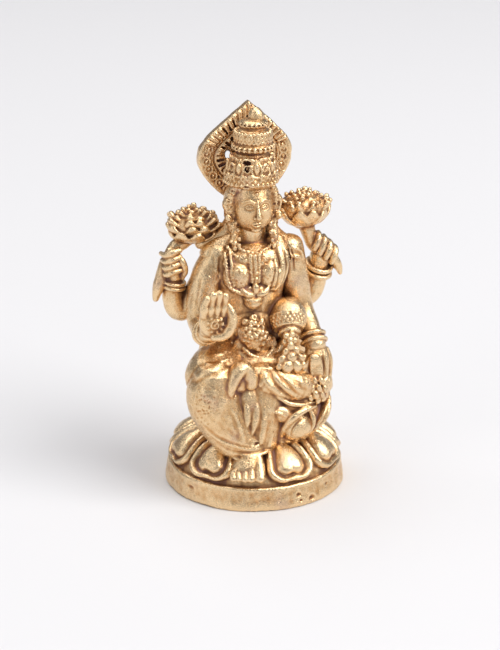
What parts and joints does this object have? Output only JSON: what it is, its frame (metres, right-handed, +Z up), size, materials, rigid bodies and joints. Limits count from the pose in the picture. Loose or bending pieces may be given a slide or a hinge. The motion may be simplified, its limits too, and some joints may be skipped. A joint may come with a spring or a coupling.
{
  "type": "lakshmi figure",
  "caption": "Small solid brass shrine figure: a goddess with rear arms holding lotuses sits under a pointed halo on a round lotus plinth, one hand raised to bless beside a pot of coins.",
  "frame": {"origin": "middle of the plinth's flat underside", "axes": "+Z up from the underside to the finial, the figure looks along -Y, its left-hand side is at +X"},
  "size_m": [0.0346, 0.0322, 0.0683],
  "materials": {
    "aged_brass": "cast brass rubbed bright on the high places, with brown patina in the recesses and fine sandy pores"
  },
  "bodies": {
    "root": {"lakshmi_figure": "aged_brass"}
  },
  "joints": []
}
